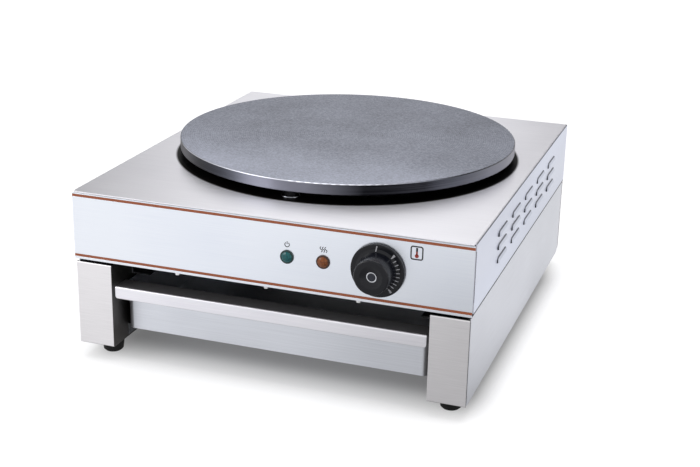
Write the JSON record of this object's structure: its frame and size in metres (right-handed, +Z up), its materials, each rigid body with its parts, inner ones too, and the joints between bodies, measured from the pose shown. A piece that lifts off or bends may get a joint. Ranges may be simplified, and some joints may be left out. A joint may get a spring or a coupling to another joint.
{
  "type": "electric crepe maker",
  "caption": "Electric crepe maker: round cast-iron plate over a folded steel housing with dial and lamps, on leg boxes with a sliding utensil drawer.",
  "frame": {"origin": "on the surface it stands on, under the middle of the whole object's bounding box", "axes": "+X to the user's right, +Y from the fascia to the back, +Z up"},
  "size_m": [0.456, 0.542, 0.218],
  "materials": {
    "stainless_steel": "satin brushed stainless sheet",
    "fascia_steel": "fine satin stainless facing",
    "copper_stripe": "copper coloured lacquered strip",
    "drawer_steel": "satin stainless sheet",
    "zinc_steel": "bright zinc plated steel",
    "chrome": "polished",
    "cast_iron": "machined and seasoned cast iron with a dark satin coat",
    "heater_tube": "heat-darkened alloy tube",
    "ceramic": "unglazed steatite and heat-proof moulding",
    "fibre": "pressed ceramic fibre",
    "rubber": "matt black rubber",
    "black_plastic": "black phenolic, satin",
    "knob_plastic": "black phenolic, satin",
    "green_lens": "translucent green lens",
    "amber_lens": "translucent amber lens",
    "brass": "turned brass",
    "copper_tube": "copper capillary and bulb",
    "wire_sleeve": "silicone rubber sleeve"
  },
  "bodies": {
    "cabinet": {"top_cover": "stainless_steel", "front_panel": "stainless_steel", "fascia": "fascia_steel", "fascia_stripes": "copper_stripe", "rear_panel": "stainless_steel", "floor_panel": "zinc_steel", "panel_screws": "chrome", "leg_frame_right": "stainless_steel", "leg_frame_left": "stainless_steel", "side_panel_right": "stainless_steel", "side_panel_left": "stainless_steel", "base_back_panel": "stainless_steel", "runner_right": "zinc_steel", "runner_left": "zinc_steel", "guide_right": "zinc_steel", "guide_left": "zinc_steel", "guide_rivets": "zinc_steel", "base_spacers": "rubber", "base_bolts": "zinc_steel", "base_nuts": "zinc_steel", "rubber_feet": "rubber", "foot_screws": "zinc_steel", "cooking_plate": "cast_iron", "plate_studs": "zinc_steel", "seat_washers": "chrome", "plate_locknuts": "zinc_steel", "plate_underside_nuts": "zinc_steel", "heating_element": "heater_tube", "element_terminals": "zinc_steel", "element_clamp": "zinc_steel", "clamp_bolt": "zinc_steel", "fibre_pad": "fibre", "heat_shield": "zinc_steel", "shield_screws": "zinc_steel", "thermostat_body": "ceramic", "thermostat_bush": "brass", "thermostat_screws": "chrome", "sensor_bulb": "copper_tube", "overheat_cutout": "ceramic", "power_lamp_bezel": "black_plastic", "power_lamp_lens": "green_lens", "heat_lamp_bezel": "black_plastic", "heat_lamp_lens": "amber_lens", "lamp_nuts": "black_plastic", "terminal_block": "ceramic", "terminal_screws": "brass", "earth_stud": "brass", "wiring_loom": "wire_sleeve", "cable_gland": "black_plastic", "gland_nut": "black_plastic"},
    "drawer": {"drawer_tray": "drawer_steel", "drawer_handle": "drawer_steel", "drawer_rivets": "chrome"},
    "knob": {"dial_knob": "knob_plastic", "knob_cap": "chrome", "thermostat_shaft": "zinc_steel"}
  },
  "joints": [
    {"name": "drawer_slide", "type": "slide", "parent": "cabinet", "child": "drawer", "axis": [0, -1, 0], "range_m": [0, 0.33]},
    {"name": "knob_turn", "type": "hinge", "parent": "cabinet", "child": "knob", "pos_m": [0.125, -0.246, 0.1562], "axis": [0, 1, 0], "range_deg": [0, 270]}
  ]
}
